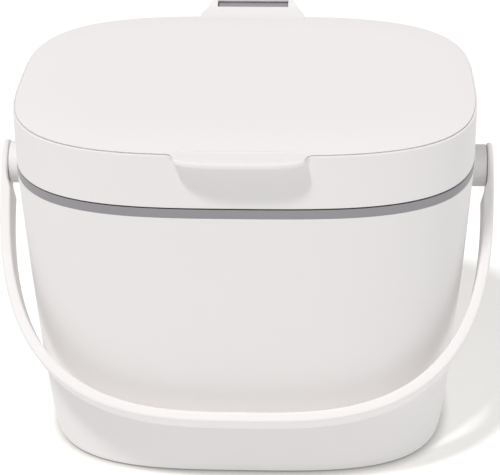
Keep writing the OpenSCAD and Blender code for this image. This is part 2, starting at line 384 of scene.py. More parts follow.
WHITE_PLASTIC = Finish(
    "satin_white_plastic", Slot.WHITE, (0.9, 0.886, 0.88), (0.897, 0.882, 0.876), 0.58, 0.64,
    grain=1800.0, grain_depth=0.000003, ripple_share=0.55,
)
GREY_PLASTIC = Finish(
    "matt_grey_plastic", Slot.GREY, (0.315, 0.307, 0.325), (0.3, 0.292, 0.31), 0.42, 0.52,
    grain=3200.0, grain_depth=0.00002, ripple_share=0.1,
)
SEAL_RUBBER = Finish(
    "grey_silicone", Slot.SEAL, (0.19, 0.19, 0.2), (0.165, 0.165, 0.175), 0.5, 0.65,
    grain=1500.0, grain_depth=0.000012, ripple_share=0.2, sheen=0.1,
)
PIN_STEEL = Finish(
    "drawn_steel", Slot.STEEL, (0.62, 0.61, 0.6), (0.56, 0.56, 0.56), 0.29, 0.38,
    grain_depth=0.000004, metal=True,
)


class Paintbox:
    """Makes each finish's material once and gives it to pieces."""

    def __init__(self) -> None:
        """Start with the effect groups and no materials."""
        self.effects = Effects()
        self.made: dict[str, bpy.types.Material] = {}

    def dress(self, piece: bpy.types.Object, finish: Finish) -> None:
        """Give a piece its material.

        Args:
            piece: The piece.
            finish: Its finish.
        """
        if finish.name not in self.made:
            self.made[finish.name] = finish.material(self.effects)
        piece.data.materials.clear()
        piece.data.materials.append(self.made[finish.name])


# ---- mesh work ----


def arc(
    centre: tuple[float, float], radius: float, start: float, end: float, steps: int
) -> list[tuple[float, float]]:
    """Points along an arc, both ends included.

    Args:
        centre: Centre of the arc.
        radius: Its radius.
        start: First angle in degrees.
        end: Last angle in degrees.
        steps: Number of spaces between the points.

    Returns:
        The points.
    """
    angles = (math.radians(start + (end - start) * i / steps) for i in range(steps + 1))
    return [(centre[0] + radius * math.cos(a), centre[1] + radius * math.sin(a)) for a in angles]


def corner(
    inset: float, height: float, radius: float, start: float, end: float, steps: int
) -> list[tuple[float, float]]:
    """Rounded corner of a section, as points of (inset, height); angles run from outwards to up.

    Args:
        inset: Inset of the rounding's centre.
        height: Height of that centre.
        radius: Radius of the rounding.
        start: First angle in degrees.
        end: Last angle in degrees.
        steps: Number of spaces between the points.

    Returns:
        The points.
    """
    return [(inset - x, height + z) for x, z in arc((0.0, 0.0), radius, start, end, steps)]


def smooth_step(value: float, low: float, high: float) -> float:
    """Ease from 0 at low to 1 at high."""
    t = min(max((value - low) / (high - low), 0.0), 1.0)
    return t * t * (3.0 - 2.0 * t)


def shade(mesh: bpy.types.Mesh) -> None:
    """Shade a mesh smooth and keep its creases sharp."""
    mesh.shade_smooth()
    mesh.set_sharp_from_angle(angle=CREASE_ANGLE)


def put_in_order(shape: bmesh.types.BMesh) -> None:
    """Order a shape's points, edges and faces by place, so that every run gives the same mesh.

    Args:
        shape: Shape to put in order, in millimetres.
    """
    weights, digits = (1.0, 1009.17, 1000003.71), 4

    def place(point: Vector) -> float:
        """One number that tells places apart."""
        return sum(weight * round(part, digits) for weight, part in zip(weights, point))

    shape.verts.sort(key=lambda v: place(v.co))
    shape.edges.sort(key=lambda e: place(e.verts[0].co + e.verts[1].co))
    shape.faces.sort(key=lambda f: place(f.calc_center_median()))
    for elements in (shape.verts, shape.edges, shape.faces):
        elements.index_update()


def make_piece(name: str, shape: bmesh.types.BMesh) -> bpy.types.Object:
    """Turn a finished shape into an object at the origin, in metres.

    Args:
        name: Name of the piece.
        shape: The shape in millimetres; it is freed.

    Returns:
        The object.
    """
    bmesh.ops.remove_doubles(shape, verts=shape.verts, dist=MERGE_DISTANCE)
    bmesh.ops.dissolve_degenerate(shape, edges=shape.edges, dist=NO_LENGTH)
    bmesh.ops.recalc_face_normals(shape, faces=shape.faces)
    put_in_order(shape)
    bmesh.ops.scale(shape, vec=(MILLIMETRE,) * 3, verts=shape.verts)
    mesh = bpy.data.meshes.new(name)
    shape.to_mesh(mesh)
    shape.free()
    shade(mesh)
    piece = bpy.data.objects.new(name, mesh)
    bpy.context.scene.collection.objects.link(piece)
    return piece


def work(piece: bpy.types.Object, tool: bpy.types.Object, cut: Cut) -> None:
    """Join a tool piece to a piece, or cut the piece with it; the tool is used up.

    Args:
        piece: The piece that changes.
        tool: The piece that works on it.
        cut: What the tool does.
    """
    step = piece.modifiers.new("work", "BOOLEAN")
    step.operation, step.object, step.solver = cut.value, tool, "EXACT"
    bpy.context.view_layer.update()
    state = piece.evaluated_get(bpy.context.evaluated_depsgraph_get())
    worked = bpy.data.meshes.new_from_object(state)
    piece.modifiers.clear()
    old, piece.data = piece.data, worked
    worked.name = old.name
    bpy.data.meshes.remove(old)
    bpy.data.objects.remove(tool)
    shade(piece.data)


def soften(shape: bmesh.types.BMesh, width: float, segments: int = 3) -> None:
    """Round every sharp edge of a shape.

    Args:
        shape: The shape.
        width: Width of the rounding, in the shape's own unit.
        segments: Number of faces across it.
    """
    edges = [e for e in shape.edges if e.is_manifold and e.calc_face_angle(0.0) > SOFTENED_ANGLE]
    bmesh.ops.bevel(
        shape, geom=edges, offset=width, offset_type="OFFSET", affect="EDGES",
        segments=segments, profile=0.5, material=-1, clamp_overlap=True,
    )


def soften_piece(piece: bpy.types.Object, width: float) -> None:
    """Round the sharp edges of a finished piece.

    Args:
        piece: The piece.
        width: Width of the rounding, in millimetres.
    """
    shape = bmesh.new()
    shape.from_mesh(piece.data)
    bmesh.ops.dissolve_limit(
        shape, angle_limit=FLAT_ANGLE, verts=shape.verts, edges=shape.edges,
        use_dissolve_boundaries=False,
    )
    soften(shape, width * MILLIMETRE)
    shape.to_mesh(piece.data)
    shape.free()
    shade(piece.data)


def keep_faces_flat(piece: bpy.types.Object) -> None:
    """Let large faces decide the shading beside narrow roundings.

    Args:
        piece: The piece.
    """
    weighting = piece.modifiers.new("face_weight", "WEIGHTED_NORMAL")
    weighting.keep_sharp = True
    weighting.weight = LARGE_FACES_FIRST


def turned(
    profile: Outline, centre: Vector, steps: int = 72, side: Side = Side.RIGHT
) -> bmesh.types.BMesh:
    """Turn a profile about an axis along X.

    Args:
        profile: Points of distance along X and radius, from pole to pole.
        centre: A point on the axis; the profile's X is measured from the middle plane.
        steps: Faces around the axis.
        side: Side of the caddy; the left side is mirrored.

    Returns:
        The shape in millimetres.
    """
    shape = bmesh.new()
    verts = [shape.verts.new((side.value * x, 0.0, radius)) for x, radius in profile]
    edges = [shape.edges.new(pair) for pair in zip(verts, verts[1:])]
    bmesh.ops.spin(
        shape, geom=verts + edges, cent=(0.0, 0.0, 0.0), axis=(1.0, 0.0, 0.0),
        angle=math.tau, steps=steps, use_merge=True,
    )
    bmesh.ops.remove_doubles(shape, verts=shape.verts, dist=MERGE_DISTANCE)
    bmesh.ops.translate(shape, vec=(0.0, centre.y, centre.z), verts=shape.verts)
    return shape


def rod(
    half: float, radius: float, centre: Vector, steps: int = 72, chamfer: float = 0.0
) -> bmesh.types.BMesh:
    """Turn a rod along X, evenly to both sides of the middle plane.

    Args:
        half: Half of its length.
        radius: Its radius.
        centre: A point on its axis.
        steps: Faces around it.
        chamfer: Width of the chamfer at its ends.

    Returns:
        The shape in millimetres.
    """
    end = [(half - chamfer, radius)] if chamfer else []
    end += [(half, radius - chamfer), (half, 0.0)]
    return turned([(-x, r) for x, r in reversed(end)] + end, centre, steps)


def slab(
    outline: Outline, place: Callable[[float, float], Vector], along: Vector
) -> bmesh.types.BMesh:
    """Extrude a flat outline.

    Args:
        outline: Points of a closed outline.
        place: Puts a point of the outline in space.
        along: How far the outline is extruded.

    Returns:
        The shape in millimetres.
    """
    shape = bmesh.new()
    verts = [shape.verts.new(place(u, v)) for u, v in outline]
    edges = [shape.edges.new((a, b)) for a, b in zip(verts, verts[1:] + verts[:1])]
    face = bmesh.ops.edgeloop_fill(shape, edges=edges)["faces"]
    grown = bmesh.ops.extrude_face_region(shape, geom=face, use_keep_orig=True)["geom"]
    far_end = [item for item in grown if isinstance(item, bmesh.types.BMVert)]
    bmesh.ops.translate(shape, vec=along, verts=far_end)
    bmesh.ops.recalc_face_normals(shape, faces=shape.faces)
    return shape


def side_slab(outline: Outline, half_length: float) -> bmesh.types.BMesh:
    """Extrude a side view, drawn as points of (y, z), evenly to both sides of the middle plane."""
    along = Vector((2.0 * half_length, 0.0, 0.0))
    return slab(outline, lambda y, z: Vector((-half_length, y, z)), along)


class RingLoft:
    """A skin that grows ring by ring from one closed outline.

    Attributes:
        shape: The shape in millimetres.
    """

    def __init__(self, stations: int) -> None:
        """Start with one unplaced ring.

        Args:
            stations: Number of points around every ring.
        """
        self.shape = bmesh.new()
        self._station = self.shape.verts.layers.int.new("station")
        bmesh.ops.create_circle(self.shape, segments=stations, radius=1.0)
        around = sorted(self.shape.verts, key=lambda v: math.atan2(v.co.y, v.co.x) % math.tau)
        for number, vert in enumerate(around):
            vert[self._station] = number
        self._ring = list(self.shape.edges)
        self._first: Place | None = None

    def ring(self, place: Place) -> None:
        """Add one ring.

        Args:
            place: Gives the point of each station.
        """
        if self._first is None:
            self._first = place
        else:
            grown = bmesh.ops.extrude_edge_only(self.shape, edges=self._ring)["geom"]
            fresh = {v for v in grown if isinstance(v, bmesh.types.BMVert)}
            self._ring = [
                e for e in grown if isinstance(e, bmesh.types.BMEdge) and fresh.issuperset(e.verts)
            ]
        for vert in {v for e in self._ring for v in e.verts}:
            vert.co = place(vert[self._station])

    def cap(self) -> None:
        """Fill the last ring."""
        bmesh.ops.edgeloop_fill(self.shape, edges=self._ring)

    def close(self) -> None:
        """Bring the skin back to its first ring, so that it is a closed band."""
        self.ring(self._first)
        bmesh.ops.remove_doubles(self.shape, verts=self.shape.verts, dist=MERGE_DISTANCE)


def filled_skin(stations: int, places: Iterable[Place]) -> bmesh.types.BMesh:
    """Loft a skin and fill its first and its last ring.

    Args:
        stations: Number of points around every ring.
        places: Gives the rings, each by the points of its stations.

    Returns:
        The shape in millimetres.
    """
    loft = RingLoft(stations)
    for number, place in enumerate(places):
        loft.ring(place)
        if number == 0:
            loft.cap()
    loft.cap()
    return loft.shape


# ---- plan ----


@dataclass(frozen=True)
class Plan:
    """Plan of the tub and the lid, a squared oval that narrows towards the base, and shared places.

    Attributes:
        half_width: Half of the width at the rim.
        half_depth: Half of the depth at the rim.
        rim_height: Height of the tub's rim.
        side_lean: How far each side leans in down to the base.
        front_lean: How far the front and the back lean in.
        belly: Exponent of the walls' curve.
        power: Squareness of the oval.
        stations: Points around a plain ring.
        edge: Height of the lid's edge.
        pivot_height: Height of the handle's pivots.
        hinge: Place of the lid hinge's axis.
    """

    half_width: float = 128.0
    half_depth: float = 99.8
    rim_height: float = 170.0
    side_lean: float = 13.2
    front_lean: float = 13.3
    belly: float = 0.65
    power: float = 3.3
    stations: int = 240
    edge: float = 206.9
    pivot_height: float = 154.4
    hinge: Vector = field(default_factory=lambda: Vector((0.0, 112.8, 203.9)))

    def halves(self, height: float) -> tuple[float, float]:
        """Half of the width and half of the depth at a height.

        Args:
            height: Height above the ground.

        Returns:
            Half of the width and half of the depth.
        """
        rise = (min(max(height, 0.0), self.rim_height) / self.rim_height) ** self.belly
        fall = 1.0 - rise
        return self.half_width - self.side_lean * fall, self.half_depth - self.front_lean * fall

    def point(self, turn: float, inset: float, height: float) -> Vector:
        """A point of the outline.

        Args:
            turn: Place around the oval, in radians.
            inset: Distance in from the outside.
            height: Height above the base.

        Returns:
            The point.
        """
        wide, deep = self.halves(height)
        c, s = math.cos(turn), math.sin(turn)
        k = (abs(c) ** self.power + abs(s) ** self.power) ** (-1.0 / self.power)
        return Vector(((wide - inset) * c * k, (deep - inset) * s * k, height))

    def turn_at(self, x: float) -> float:
        """Place around the oval of the front point that stands at a distance x from the middle."""
        c = x / self.half_width
        return math.atan2(-((1.0 - abs(c) ** self.power) ** (1.0 / self.power)), c)

    def plain(self, inset: float, height: float) -> Place:
        """Ring of the plan for a loft with the usual stations."""
        return lambda station: self.point(math.tau * station / self.stations, inset, height)

    def filled(self, section: Outline) -> bmesh.types.BMesh:
        """A skin around the plan, filled at both ends; the section is points of (inset, height)."""
        return filled_skin(self.stations, (self.plain(inset, height) for inset, height in section))

    def at_pivot(self, profile: Outline, side: Side) -> bmesh.types.BMesh:
        """Turn a profile about the handle's axis, on one side of the caddy."""
        return turned(profile, Vector((0.0, 0.0, self.pivot_height)), side=side)

    def band(self, section: Outline, softened: float = 0.0) -> bmesh.types.BMesh:
        """A closed band around the plan.

        Args:
            section: Closed cross-section as points of (inset, height).
            softened: Width of the rounding on its sharp edges.

        Returns:
            The shape in millimetres.
        """
        loft = RingLoft(self.stations)
        for inset, height in section:
            loft.ring(self.plain(inset, height))
        loft.close()
        if softened:
            soften(loft.shape, softened)
        return loft.shape


# ---- sub-assemblies ----


@dataclass
class SubAssembly:
    """Pieces that are made and dressed together.

    Attributes:
        plan: Plan of the caddy.
        paints: Gives the pieces their finishes.
        pieces: The finished pieces.
    """

    plan: Plan
    paints: Paintbox
    pieces: list[bpy.types.Object] = field(default_factory=list, init=False)

    def add(self, piece: bpy.types.Object, finish: Finish, body: Body, *nodes: str) -> None:
        """Dress a piece, let it ride on its body and stand for its frame nodes.

        Args:
            piece: The piece.
            finish: Its finish.
            body: Body that it moves with.
            *nodes: Frame nodes that it stands for.
        """
        self.paints.dress(piece, finish)
        keep_faces_flat(piece)
        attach(piece, body.value)
        if nodes:
            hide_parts(*nodes)
        self.pieces.append(piece)


@dataclass
class Tub(SubAssembly):
    """The deep white tub with a round boss for the handle on each side.

    Attributes:
        height: Height of the tub.
        wall: Thickness of the wall.
        floor: Thickness of the floor.
        foot_radius: Radius under the edge of the base.
        inner_radius: Radius inside, where the wall meets the floor.
        rim_radius: Rounding of the rim.
        boss_radius: Radius of a boss.
        boss_end: Distance of a boss's face from the middle plane.
        boss_fillet: Radius where a boss leaves the wall.
        boss_edge: Rounding of a boss's edge.
        bore_radius: Radius of the hole for the stud.
        bore_depth: Depth of that hole.
    """

    height: float = 170.0
    wall: float = 2.6
    floor: float = 3.0
    foot_radius: float = 2.4
    inner_radius: float = 12.0
    rim_radius: float = 0.6
    boss_radius: float = 12.1
    boss_end: float = 136.5
    boss_fillet: float = 1.2
    boss_edge: float = 0.7
    bore_radius: float = 4.52
    bore_depth: float = 9.7

    def profile(self) -> list[tuple[float, float]]:
        """Section of the wall, from under the base up and down the inside, as (inset, height).

        Returns:
            Points of the section.
        """
        foot, rim, wall = self.foot_radius, self.rim_radius, self.wall
        inner, floor, top = self.inner_radius, self.floor, self.height
        steps, crowding = 16, 1.35
        rises = [(i / steps) ** crowding for i in range(1, steps + 1)]
        outside = [(24.0, 0.7), (15.0, 0.7), (13.0, 0.5), (12.0, 0.12), (11.2, 0.0), (6.0, 0.0)]
        outside += corner(foot, foot, foot, -90, 0, 7) + [(0.0, foot + 0.9)]
        outside += [(0.0, foot + (top - rim - foot) * rise) for rise in rises]
        edge = corner(rim, top - rim, rim, 22.5, 90, 3)
        edge += corner(wall - rim, top - rim, rim, 90, 180, 4)
        inner_low = floor + inner
        inside = [(wall, inner_low + (top - rim - floor - inner) * rise) for rise in rises[-2::-1]]
        inside += corner(wall + inner, inner_low, inner, 0, -90, 10)
        return [*outside, *edge, *inside, (wall + inner + 6.0, floor)]

    def shell(self) -> bpy.types.Object:
        """Loft the tub without its bosses."""
        return make_piece("tub", self.plan.filled(self.profile()))

    def boss(self, side: Side) -> bpy.types.Object:
        """Turn one boss, with a fillet that follows the lean of the wall.

        Args:
            side: Side of the tub.

        Returns:
            The boss, as a tool piece.
        """
        centre, step, sunk = self.plan.pivot_height, 4.0, 1.4
        below, wall_x, above = (self.plan.halves(centre + rise)[0] for rise in (-step, 0.0, step))
        slope = (above - below) / (2 * step)
        fillet, radius = self.boss_fillet, self.boss_radius
        end, edge = self.boss_end, self.boss_edge
        root = arc((wall_x + fillet, radius + fillet), fillet, 180, 270, 6)
        profile = [(wall_x - sunk, 0.0), (wall_x - sunk, radius + fillet), *root]
        profile += arc((end - edge, radius - edge), edge, 90, 0, 4) + [(end, 5.4), (end, 0.0)]
        shape = self.plan.at_pivot(profile, side)
        for vert in shape.verts:
            held = 1.0 - smooth_step(abs(vert.co.x), wall_x + fillet, wall_x + fillet + step)
            vert.co.x += side.value * slope * (vert.co.z - centre) * held
        return make_piece(f"boss_{side.name.lower()}", shape)

    def bore_tool(self, side: Side) -> bpy.types.Object:
        """Turn the tool that drills the stud's hole and eases its mouth.

        Args:
            side: Side of the tub.

        Returns:
            The tool piece.
        """
        end, bore = self.boss_end, self.bore_radius
        profile = [(end - self.bore_depth, 0.0), (end - self.bore_depth, bore), (end - 0.4, bore),
                   (end + 0.2, bore + 0.6), (end + 2.0, bore + 0.6), (end + 2.0, 0.0)]
        return make_piece("bore_tool", self.plan.at_pivot(profile, side))

    def build(self) -> None:
        """Make and dress the tub."""
        tub = self.shell()
        for side in Side:
            work(tub, self.boss(side), Cut.JOIN)
            work(tub, self.bore_tool(side), Cut.REMOVE)
        self.add(tub, WHITE_PLASTIC, Body.CADDY, "bucket_body")


@dataclass
class RimFrame(SubAssembly):
    """The grey frame on the rim, with its seal and the barrel of the hinge.

    Attributes:
        low: Height of the band's lower edge.
        high: Height of the band's top.
        lip_top: Height of the seal lip.
        channel: Depth of the drip channel between the band's edge and the lip.
        spigot_low: Height of the spigot's lower edge.
        spigot_inset: Inset of the spigot's outside.
        groove: Height of the groove's lower and upper side.
        seal_inset: Inset of the seal's outer face, just inside the tub's wall.
        barrel_radius: Radius of the barrel.
        half_length: Half of the barrel's length.
        pin_radius: Radius of the steel pin.
        pin_half: Half of the pin's length.
        pin_chamfer: Width of the chamfer at the pin's ends.
        pin_play: Gap between the pin and the barrel's bore.
        bracket_edge: Rounding of the bracket's edges.
        seal_edge: Rounding of the seal's edges.
    """

    low: float = 170.0
    high: float = 175.0
    lip_top: float = 179.0
    channel: float = 1.8
    spigot_low: float = 160.0
    spigot_inset: float = 2.95
    groove: tuple[float, float] = (163.5, 166.5)
    seal_inset: float = 2.7
    barrel_radius: float = 6.0
    half_length: float = 21.35
    pin_radius: float = 2.0
    pin_half: float = 24.65
    pin_chamfer: float = 0.4
    pin_play: float = 0.02
    bracket_edge: float = 0.5
    seal_edge: float = 0.15

    def section(self) -> list[tuple[float, float]]:
        """Cross-section of the frame as points of (inset, height).

        Returns:
            Points of the section.
        """
        low, high, floor, under = self.low, self.high, self.high - self.channel, self.high - 3.2
        spigot, foot, lip = self.spigot_inset, self.spigot_low, self.lip_top - 0.5
        groove_inset, (groove_low, groove_high) = spigot + 1.4, self.groove
        return [
            *corner(0.35, low + 0.35, 0.35, -90, 0, 3), (0.0, low + 2.4),
            *corner(0.4, high - 0.4, 0.4, 0, 90, 4), (1.1, high), (1.4, floor),
            (7.6, floor), (8.0, high),
            *corner(8.5, lip, 0.5, 0, 90, 3), *corner(9.5, lip, 0.5, 90, 180, 3),
            (10.0, under), (spigot + 3.0, under), (spigot + 3.0, foot + 0.5), (spigot + 2.5, foot),
            (spigot + 0.5, foot), (spigot, foot + 0.5), (spigot, groove_low),
            (groove_inset, groove_low), (groove_inset, groove_high), (spigot, groove_high),
            (spigot, low),
        ]

    def bracket(self) -> bpy.types.Object:
        """Side view of the web and the barrel in one outline, extruded and softened.

        Returns:
            The bracket, as a tool piece.
        """
        y, z, r = self.plan.hinge.y, self.plan.hinge.z, self.barrel_radius
        back = self.plan.half_depth
        web_back, web_front = y + 0.6, y - 4.4
        kink = z - 1.7 * r
        start = 360.0 - math.degrees(math.acos((web_front - y) / r))
        end = -math.degrees(math.acos((web_back - y) / r))
        outline = [(back - 2.0, self.low + 0.3), (back - 2.0, self.high - 0.8),
                   (back + 1.2, self.high - 0.4), (back + 1.4, self.high), (web_front, kink)]
        outline += arc((y, z), r, start, end, 60)
        outline += [(web_back, kink), (back + 6.2, self.low + 0.3)]
        shape = side_slab(outline, self.half_length)
        soften(shape, self.bracket_edge)
        return make_piece("hinge_bracket", shape)

    def build(self) -> None:
        """Make and dress the frame, its seal and the hinge pin."""
        rim = make_piece("rim_band", self.plan.band(self.section()))
        work(rim, self.bracket(), Cut.JOIN)
        past_ends = self.half_length + 5.0
        bore = rod(past_ends, self.pin_radius + self.pin_play, self.plan.hinge)
        work(rim, make_piece("pin_tool", bore), Cut.REMOVE)
        self.add(rim, GREY_PLASTIC, Body.CADDY, "rim_frame")

        outer, inner = self.seal_inset, self.spigot_inset + 1.3
        low, high = self.groove[0] + 0.1, self.groove[1] - 0.1
        section = [(outer, low + 0.9), (outer + 0.1, low + 1.4), (outer, low + 1.9),
                   (outer + 0.35, high), (inner, high), (inner, low), (outer + 0.35, low)]
        seal = make_piece("rim_seal", self.plan.band(section, self.seal_edge))
        self.add(seal, SEAL_RUBBER, Body.CADDY, "rim_gasket")

        round_bar = rod(
            self.pin_half, self.pin_radius, self.plan.hinge, PIN_FACES, self.pin_chamfer
        )
        pin = make_piece("steel_pin", round_bar)
        self.add(pin, PIN_STEEL, Body.CADDY, "hinge_pin")


@dataclass(frozen=True)
class TabRing:
    """One ring of the lid's edge, on the plain edge and on the front tab.

    Attributes:
        inset: Inset on the plain edge.
        height: Height on the plain edge.
        out: Share of the tab's reach.
        back: Distance in from the tab's outline.
        drop: Distance below the tab's top.
    """

    inset: float
    height: float
    out: float
    back: float
    drop: float


@dataclass
class Lid(SubAssembly):
    """The hollow white lid with its front tab, inner panel and seal.

    Attributes:
        skirt_low: Height of the skirt's lower edge.
        edge_radius: Radius of the top edge.
        skirt: Thickness of the skirt.
        skin: Thickness of the top.
        crown: How far the middle stands above the edge.
        crown_span: Inset over which the crown rises.
        tab_half: Half of the tab's width.
        tab_out: Reach of the tab.
        tab_thickness: Thickness of the tab.
        tab_droop: Droop of the tab in degrees.
        tab_power: Squareness of the tab's outline.
        tab_root: Radius in the corners where the tab leaves the lid.
        dish_half: Half of the width of the finger dish on the tab.
        dish_reach: Distances of the dish's front and back from the lid's middle.
        dish_front: Depth of its floor under the edge, at the dish's front.
        dish_fall: Fall of its floor towards the back, in degrees.
        dish_ease: Width over which its ends rise to the tab's top.
        top_inset: Inset where the rings of the top leave the tab.
        panel_section: Half section of the inner panel, as points of (inset, height).
        panel_edge: Rounding of the panel's edges.
        seal_section: Section of the seal in the panel's groove, as points of (inset, height).
    """

    skirt_low: float = 175.9
    edge_radius: float = 2.8
    skirt: float = 2.5
    skin: float = 2.2
    crown: float = 3.6
    crown_span: float = 28.0
    tab_half: float = 35.0
    tab_out: float = 10.2
    tab_thickness: float = 3.2
    tab_droop: float = 2.2
    tab_power: float = 3.0
    tab_root: float = 4.6
    dish_half: float = 34.4
    dish_reach: tuple[float, float] = (107.6, 95.3)
    dish_front: float = 0.1
    dish_fall: float = 0.3
    dish_ease: float = 3.0
    top_inset: float = 8.5
    panel_section: Outline = (
        (12.6, 180.65), (10.6, 180.65), (10.6, 182.65), (7.4, 182.65), (7.4, 180.65), (2.7, 180.65),
        (2.7, 204.5), (4.7, 204.5), (4.7, 184.65), (12.6, 184.65), (13.6, 182.65),
    )
    panel_edge: float = 0.4
    seal_section: Outline = (
        (7.6, 182.55), (10.4, 182.55), (10.4, 180.1), (9.6, 179.45), (9.0, 179.35), (8.4, 179.45),
        (7.6, 180.1),
    )

    def __post_init__(self) -> None:
        """Work out the stations around the lid: turn around the plan and reach of the tab."""
        self.stations = self.lay_out_stations()

    def lay_out_stations(self) -> list[tuple[float, float]]:
        """Stations around the lid, close together along the tab.

        Returns:
            Pairs of turn and reach, anticlockwise from the right end of the tab.
        """
        root, out, half, bend = self.tab_root, self.tab_out, self.tab_half, 2.0 / self.tab_power
        meet, steps = math.asin((root / out) ** (self.tab_power / 2.0)), 24
        start = half * math.cos(meet) ** bend
        side = [(start + root + extra, 0.0) for extra in (11.5, 8.5, 5.8, 3.8, 2.2, 1.0)]
        side += [(start + root * (1.0 - math.cos(a)), root * (1.0 - math.sin(a)))
                 for a in (math.radians(90.0 - 9.0 * i) for i in range(11))]
        side += [(half * math.cos(t) ** bend, out * math.sin(t) ** bend)
                 for t in (meet + (math.pi / 2.0 - meet) * i / steps for i in range(1, steps))]
        front = side + [(0.0, out)] + [(-x, reach) for x, reach in reversed(side)]
        stations = []
        for x, reach in reversed(front):
            turn = self.plan.turn_at(x)
            behind = self.plan.half_depth + self.plan.point(turn, 0.0, self.plan.edge).y
            stations.append((turn, reach + behind * min(1.0, reach / root)))
        first, last = stations[-1][0], stations[0][0] + math.tau
        round_steps = 200
        stations += [(first + (last - first) * i / round_steps, 0.0) for i in range(1, round_steps)]
        return stations

    def crown_rise(self, inset: float) -> float:
        """Height of the top above the edge at an inset."""
        run = min(max(inset - self.edge_radius, 0.0) / self.crown_span, 1.0)
        return self.crown * (1.0 - (1.0 - run) ** 2)

    def tab_point(self, station: int, out: float, back: float, drop: float) -> Vector:
        """A point of the tab.

        Args:
            station: Station around the lid.
            out: Share of the reach.
            back: Distance in from the outline at that share.
            drop: Distance below the tab's top plane.

        Returns:
            The point.
        """
        line = [self.tab_outline(station + step, out) for step in (-1, 0, 1)]
        along = (line[2] - line[0]).normalized()
        inward = Vector((-along.y, along.x, 0.0))
        point = line[1] + inward * back
        lean = math.radians(self.tab_droop)
        point.z = self.plan.edge + (point.y + self.plan.half_depth) * math.tan(lean) - drop
        return point

    def tab_outline(self, station: int, out: float) -> Vector:
        """A point on the lid's outline moved out by a share of the tab's reach.

        Args:
            station: Number of the station round the lid.
            out: Share of the tab's reach.

        Returns:
            The point.
        """
        turn, reach = self.stations[station % len(self.stations)]
        point = self.plan.point(turn, 0.0, self.plan.edge)
        return Vector((point.x, point.y - reach * out, 0.0))

    def place_edge(self, ring: TabRing) -> Place:
        """Ring that follows the plain edge and, in front, the tab.

        Args:
            ring: The ring's insets, heights and place on the tab.

        Returns:
            What gives the point of the ring at each station.
        """

        def place(station: int) -> Vector:
            """Place one station of the ring.

            Args:
                station: Number of the station round the lid.

            Returns:
                The point.
            """
            turn, reach = self.stations[station]
            plain = self.plan.point(turn, ring.inset, self.plan.edge)
            plain.z = ring.height
            if reach <= 0.0:
                return plain
            plain.y -= reach * ring.out
            share = smooth_step(reach, 0.0, self.tab_root)
            return plain.lerp(self.tab_point(station, ring.out, ring.back, ring.drop), share)

        return place

    def place_plain(self, inset: float, height: float) -> Place:
        """Ring of the lid without the tab.

        Args:
            inset: Inset of the ring.
            height: Height of the ring.

        Returns:
            What gives the point of the ring at each station.
        """

        def place(station: int) -> Vector:
            """Place one station of the ring.

            Args:
                station: Number of the station round the lid.

            Returns:
                The point.
            """
            point = self.plan.point(self.stations[station][0], inset, self.plan.edge)
            point.z = height
            return point

        return place

    def place_top(self, share: float, lip: TabRing, inner: float) -> Place:
        """Ring of the top between the edge's last ring and an inset.

        On the tab, two of the shares are the foot and the top of the dish's back wall.

        Args:
            share: Share of the way from the edge's last ring to the inset.
            lip: The edge's last ring.
            inner: The inset.

        Returns:
            What gives the point of the ring at each station.
        """
        outside, inset = self.place_edge(lip), lip.inset + (inner - lip.inset) * share
        plain = self.place_plain(inset, self.plan.edge + self.crown_rise(inset))
        inside, foot_share, top_share = self.place_plain(inner, 0.0), 0.8, 0.84

        def place(station: int) -> Vector:
            """Place one station of the ring.

            Args:
                station: Number of the station round the lid.

            Returns:
                The point.
            """
            turn, reach = self.stations[station]
            if reach <= 0.0:
                return plain(station)
            start, end = outside(station), inside(station)
            wall = min(max((-self.dish_reach[1] - start.y) / (end.y - start.y), 0.1), 0.95)
            foot = wall - 0.1 / (end.y - start.y)
            if share <= foot_share:
                part = share / foot_share * foot
            else:
                part = wall + (1.0 - wall) * max(share - top_share, 0.0) / (1.0 - top_share)
            point = start.lerp(end, share + (part - share) * smooth_step(reach, 0.0, self.tab_root))
            behind = point.y - self.plan.point(turn, 0.0, self.plan.edge).y
            tab_plane = (point.y + self.plan.half_depth) * math.tan(math.radians(self.tab_droop))
            point.z = self.plan.edge + max(tab_plane, self.crown_rise(behind))
            return point

        return place

    def dished(self, place: Place) -> Place:
        """The same ring, sunk where it crosses the tab's finger dish.

        Args:
            place: What gives the points of a ring.

        Returns:
            What gives the same points with the dish sunk into them.
        """
        front, back = self.dish_reach
        fall = math.tan(math.radians(self.dish_fall))

        def sunk(station: int) -> Vector:
            """Place one station of the ring and sink it where the dish is.

            Args:
                station: Number of the station round the lid.

            Returns:
                The point.
            """
            point = place(station)
            if abs(point.x) < self.dish_half and point.y < -back - 0.05:
                floor = self.plan.edge - self.dish_front - (point.y + front) * fall
                depth = smooth_step(self.dish_half - abs(point.x), 0.0, self.dish_ease)
                point.z += (min(point.z, floor) - point.z) * depth
            return point

        return sunk

